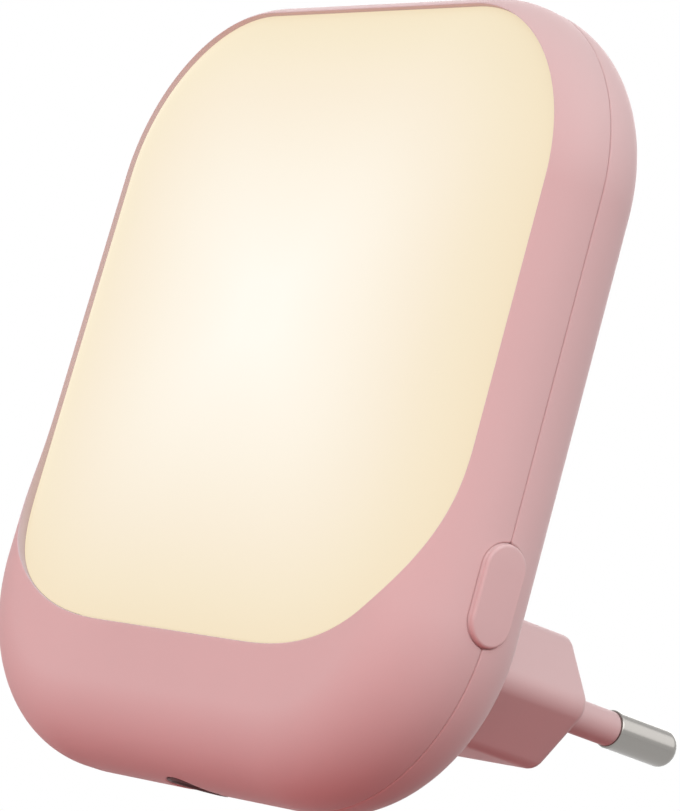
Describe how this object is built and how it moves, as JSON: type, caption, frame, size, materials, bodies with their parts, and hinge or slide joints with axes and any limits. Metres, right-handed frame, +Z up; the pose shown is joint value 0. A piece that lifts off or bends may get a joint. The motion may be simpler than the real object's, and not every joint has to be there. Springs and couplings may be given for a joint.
{
  "type": "plug-in night light",
  "caption": "Palm-sized plug-in night light: rounded pink two-shell housing, warm opal front cover, side push button, light sensor port and a flat two-pin mains plug on its back.",
  "frame": {"origin": "centre of the plug's end face, midway between the two pins", "axes": "+Y from the lamp's front into the wall socket, along the plug; +Z up the lamp; +X to the right for someone who faces the lamp's front, the side with the button"},
  "size_m": [0.0715, 0.0582, 0.0795],
  "materials": {
    "rose_plastic": "fine satin moulded plastic, dusty pink",
    "rose_button": "fine satin moulded plastic, dusty pink",
    "rose_sleeve": "smooth moulded insulation, dusty pink",
    "opal_cover": "satin opal, lit from behind in a warm white",
    "smoked_window": "dark tinted, see-through to infrared",
    "cream_plastic": "plain moulded insulator",
    "nickel_plate": "smooth nickel plate over brass",
    "green_laminate": "glass-fibre laminate with solder mask",
    "white_plastic": "white reflector plastic",
    "led_phosphor": "silicone with yellow phosphor",
    "yellow_case": "moulded capacitor case",
    "dark_sleeve": "shrink sleeve",
    "black_epoxy": "moulded epoxy",
    "green_lacquer": "flameproof lacquer",
    "black_plastic": "moulded plastic",
    "spring_steel": "drawn wire",
    "smoked_epoxy": "dark epoxy",
    "plated_screw": "zinc plate",
    "brown_insulation": "wire insulation",
    "blue_insulation": "wire insulation"
  },
  "bodies": {
    "lamp": {"front_shell": "rose_plastic", "diffuser": "opal_cover", "rear_shell": "rose_plastic", "sensor_window": "smoked_window", "pin_carrier": "cream_plastic", "pin_left": "nickel_plate", "pin_right": "nickel_plate", "sleeve_left": "rose_sleeve", "sleeve_right": "rose_sleeve", "circuit_board": "green_laminate", "reflector_tray": "white_plastic", "leds": "led_phosphor", "dropper_capacitor": "yellow_case", "smoothing_capacitor": "dark_sleeve", "bridge_rectifier": "black_epoxy", "fusible_resistor": "green_lacquer", "chip_resistors": "black_epoxy", "driver_chip": "black_epoxy", "push_switch": "black_plastic", "switch_spring": "spring_steel", "light_sensor": "smoked_epoxy", "board_screws": "plated_screw", "live_lead": "brown_insulation", "neutral_lead": "blue_insulation"},
    "button": {"side_button": "rose_button", "switch_plunger": "cream_plastic"}
  },
  "joints": [
    {"name": "button_press", "type": "slide", "parent": "lamp", "child": "button", "axis": [-1, 0, 0], "range_m": [0, 0.0012], "stiffness_N_per_m": 500, "springref_m": -0.002, "deforming": ["switch_spring"]}
  ]
}
